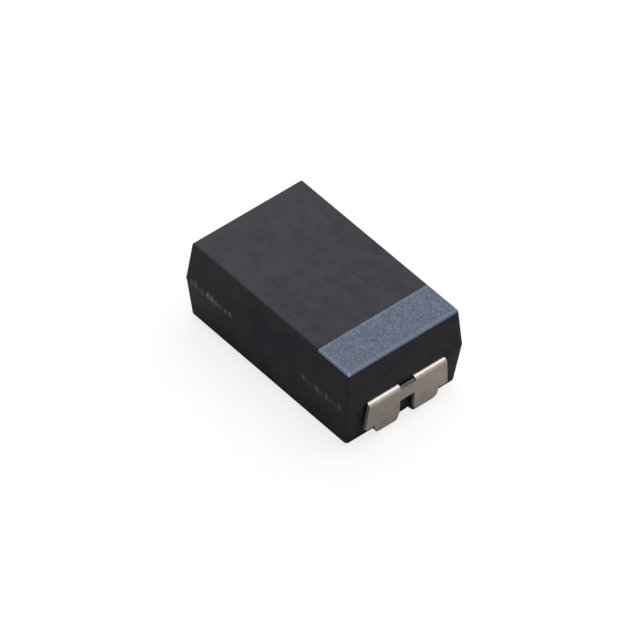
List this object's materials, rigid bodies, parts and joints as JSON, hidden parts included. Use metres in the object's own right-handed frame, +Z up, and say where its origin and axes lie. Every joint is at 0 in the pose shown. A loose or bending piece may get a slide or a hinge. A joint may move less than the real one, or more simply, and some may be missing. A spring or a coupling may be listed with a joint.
{
  "type": "tantalum capacitor",
  "caption": "Surface-mount tantalum capacitor: black moulded case, blue-grey polarity band at the anode end, and a folded tinned terminal at each end.",
  "frame": {"origin": "centre of the footprint on the seating plane", "axes": "+X along the length towards the anode end, which carries the polarity band; +Z up from the board; +Y across the width"},
  "size_m": [0.0072, 0.0044, 0.0029],
  "materials": {
    "epoxy": "matte moulded epoxy",
    "band_ink": "matte printed band",
    "tinned_sheet": "matte tin plating",
    "tantalum_wire": "drawn",
    "sintered_tantalum": "porous sintered powder",
    "ptfe": "waxy",
    "electrolyte": "dull",
    "carbon": "dull",
    "silver_paint": "matte",
    "silver_glue": "matte"
  },
  "bodies": {
    "root": {"case": "epoxy", "polarity_band": "band_ink", "anode_terminal": "tinned_sheet", "cathode_terminal": "tinned_sheet", "anode_wire": "tantalum_wire", "tantalum_pellet": "sintered_tantalum", "ptfe_washer": "ptfe", "electrolyte_layer": "electrolyte", "carbon_layer": "carbon", "silver_layer": "silver_paint", "silver_adhesive": "silver_glue"}
  },
  "joints": []
}
